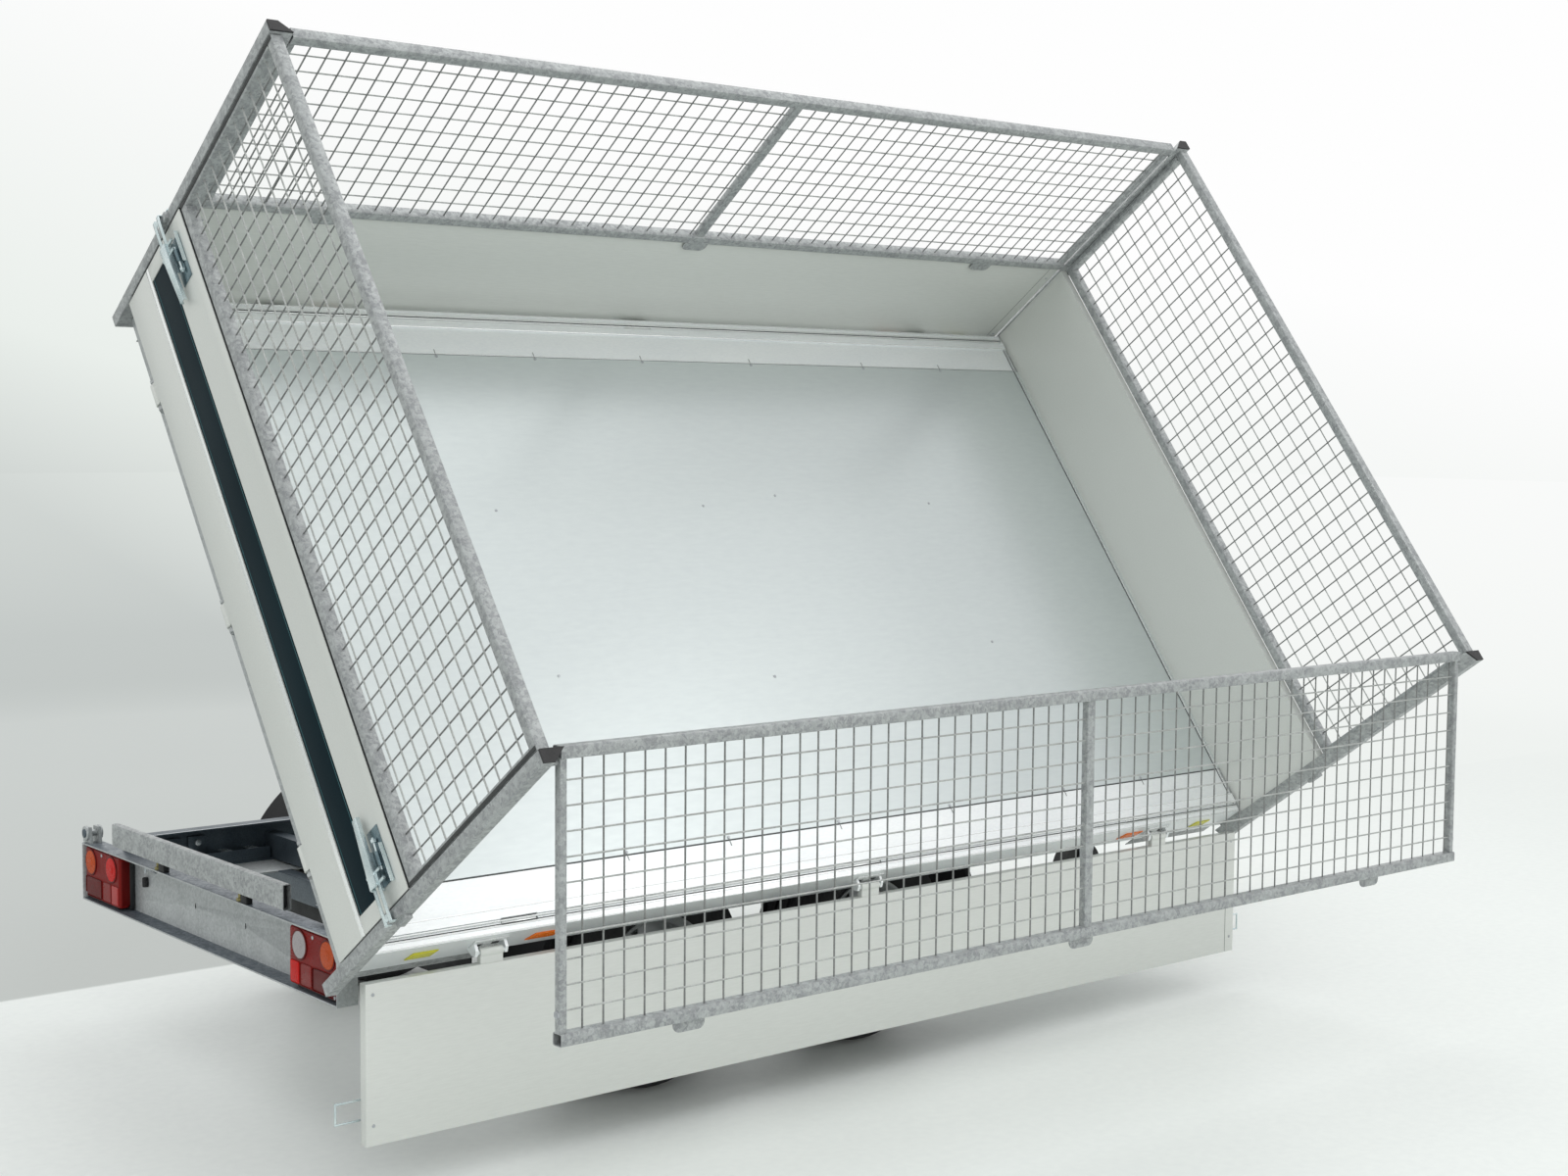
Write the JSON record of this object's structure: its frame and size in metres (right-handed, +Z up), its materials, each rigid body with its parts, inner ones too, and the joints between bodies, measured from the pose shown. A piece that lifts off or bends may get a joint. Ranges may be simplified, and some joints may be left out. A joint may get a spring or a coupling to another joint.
{
  "type": "tipping trailer",
  "caption": "Tandem-axle three-way tipping trailer with hinged dropsides, mesh side extensions and a telescopic cylinder, bed tipped sideways.",
  "frame": {"origin": "centre of the towing ball in the coupling head", "axes": "+X forward along the direction of travel, +Y to the trailer's left, +Z up"},
  "size_m": [4.5075, 2.6182, 2.5996],
  "materials": {
    "tyre": "moulded rubber",
    "rim_paint": "silver paint",
    "galvanised": "hot-dip galvanised",
    "zinc_sheet": "zinc-coated sheet",
    "panel_paint": "anodised",
    "black_plastic": "moulded",
    "black_rubber": "moulded",
    "lamp": "clear moulded lens",
    "dark_cast": "painted black",
    "zinc_plate": "zinc plated",
    "cylinder_paint": "gloss black",
    "ram_chrome": "hard chrome"
  },
  "bodies": {
    "chassis": {"axle_rear": "galvanised", "axle_front": "galvanised", "mudguard_left": "black_plastic", "mudguard_right": "black_plastic", "rear_beam": "galvanised", "tail_lamps": "lamp", "rest_bar": "galvanised", "side_rail_left": "galvanised", "side_rail_right": "galvanised", "front_beam": "galvanised", "cross_members": "galvanised", "cylinder_cradle": "galvanised", "gimbal_ring": "dark_cast", "pivot_seats": "galvanised", "drawbar": "galvanised", "overrun_housing": "dark_cast", "bellows": "black_rubber", "coupling_head": "zinc_plate", "handbrake_lever": "zinc_plate", "jockey_mast": "zinc_plate", "power_pack": "black_plastic"},
    "bed": {"bed_frame": "galvanised", "bed_floor": "zinc_sheet", "edge_rail_left": "galvanised", "edge_rail_right": "galvanised", "corner_posts": "galvanised", "post_caps": "black_plastic", "corner_sockets": "galvanised", "front_wall": "panel_paint", "mesh_front": "galvanised"},
    "dropside_right_panel": {"dropside_right": "panel_paint"},
    "dropside_left_panel": {"dropside_left": "panel_paint"},
    "tailgate_panel": {"tailgate": "panel_paint"},
    "mesh_right_panel": {"mesh_right": "galvanised"},
    "mesh_left_panel": {"mesh_left": "galvanised"},
    "mesh_rear_panel": {"mesh_rear": "galvanised"},
    "barrel": {"cylinder_barrel": "cylinder_paint"},
    "stage_1": {"cylinder_stage_1": "ram_chrome"},
    "stage_2": {"cylinder_stage_2": "ram_chrome"},
    "ram_rod": {"cylinder_rod": "ram_chrome"},
    "fork": {"jockey_fork": "zinc_plate"},
    "jockey": {"jockey_wheel": "black_rubber"},
    "wheel_rear_left": {"tyre_rear_left": "tyre", "rim_rear_left": "rim_paint"},
    "wheel_rear_right": {"tyre_rear_right": "tyre", "rim_rear_right": "rim_paint"},
    "wheel_front_left": {"tyre_front_left": "tyre", "rim_front_left": "rim_paint"},
    "wheel_front_right": {"tyre_front_right": "tyre", "rim_front_right": "rim_paint"}
  },
  "joints": [
    {"name": "bed_tip", "type": "hinge", "parent": "chassis", "child": "bed", "pos_m": [-2.895, -0.735, 0.075], "axis": [1, 0, 0], "range_deg": [-54, 0]},
    {"name": "dropside_right_swing", "type": "hinge", "parent": "bed", "child": "dropside_right_panel", "pos_m": [-2.895, -1.00503, 0.0351], "axis": [1, 0, 0], "range_deg": [-126, 25]},
    {"name": "dropside_left_swing", "type": "hinge", "parent": "bed", "child": "dropside_left_panel", "pos_m": [-2.895, 0.08355, 1.5334], "axis": [-1, 0, 0], "range_deg": [0, 180]},
    {"name": "tailgate_swing", "type": "hinge", "parent": "bed", "child": "tailgate_panel", "pos_m": [-4.436, -0.46074, 0.78425], "axis": [0, -0.5878, -0.809], "range_deg": [0, 180]},
    {"name": "mesh_right_swing", "type": "hinge", "parent": "bed", "child": "mesh_right_panel", "pos_m": [-2.895, -1.77043, 0.59614], "axis": [-1, 0, 0], "range_deg": [-54, 36]},
    {"name": "mesh_left_swing", "type": "hinge", "parent": "bed", "child": "mesh_left_panel", "pos_m": [-2.895, -0.68656, 2.08797], "axis": [1, 0, 0], "range_deg": [0, 90]},
    {"name": "mesh_rear_swing", "type": "hinge", "parent": "bed", "child": "mesh_rear_panel", "pos_m": [-4.432, -1.22849, 1.34205], "axis": [0, 0.5878, 0.809], "range_deg": [0, 90]},
    {"name": "cylinder_lean", "type": "hinge", "parent": "chassis", "child": "barrel", "pos_m": [-2.895, 0, -0.02], "axis": [1, 0, 0], "range_deg": [-28.34, 0]},
    {"name": "stage_1_slide", "type": "slide", "parent": "barrel", "child": "stage_1", "axis": [0, -0.4746, 0.8802], "range_m": [-0.21401, 0]},
    {"name": "stage_2_slide", "type": "slide", "parent": "stage_1", "child": "stage_2", "axis": [0, -0.4746, 0.8802], "range_m": [-0.21401, 0]},
    {"name": "rod_slide", "type": "slide", "parent": "stage_2", "child": "ram_rod", "axis": [0, -0.4746, 0.8802], "range_m": [-0.21401, 0]},
    {"name": "wheel_rear_right_spin", "type": "hinge", "parent": "chassis", "child": "wheel_rear_right", "pos_m": [-3.41, -0.6925, -0.18], "axis": [0, 1, 0], "continuous": true},
    {"name": "wheel_rear_left_spin", "type": "hinge", "parent": "chassis", "child": "wheel_rear_left", "pos_m": [-3.41, 0.6925, -0.18], "axis": [0, 1, 0], "continuous": true},
    {"name": "wheel_front_right_spin", "type": "hinge", "parent": "chassis", "child": "wheel_front_right", "pos_m": [-2.685, -0.6925, -0.18], "axis": [0, 1, 0], "continuous": true},
    {"name": "wheel_front_left_spin", "type": "hinge", "parent": "chassis", "child": "wheel_front_left", "pos_m": [-2.685, 0.6925, -0.18], "axis": [0, 1, 0], "continuous": true},
    {"name": "jockey_swivel", "type": "hinge", "parent": "chassis", "child": "fork", "pos_m": [-0.75, 0.19, -0.245], "axis": [0, 0, 1], "continuous": true},
    {"name": "jockey_spin", "type": "hinge", "parent": "fork", "child": "jockey", "pos_m": [-0.795, 0.19, -0.37], "axis": [0, 1, 0], "continuous": true}
  ],
  "couplings": [
    {"joint": "cylinder_lean", "follows": "bed_tip", "ratio": 0.52472},
    {"joint": "stage_1_slide", "follows": "bed_tip", "m_per_rad": 0.22706},
    {"joint": "stage_2_slide", "follows": "bed_tip", "m_per_rad": 0.22706},
    {"joint": "rod_slide", "follows": "bed_tip", "m_per_rad": 0.22706}
  ]
}
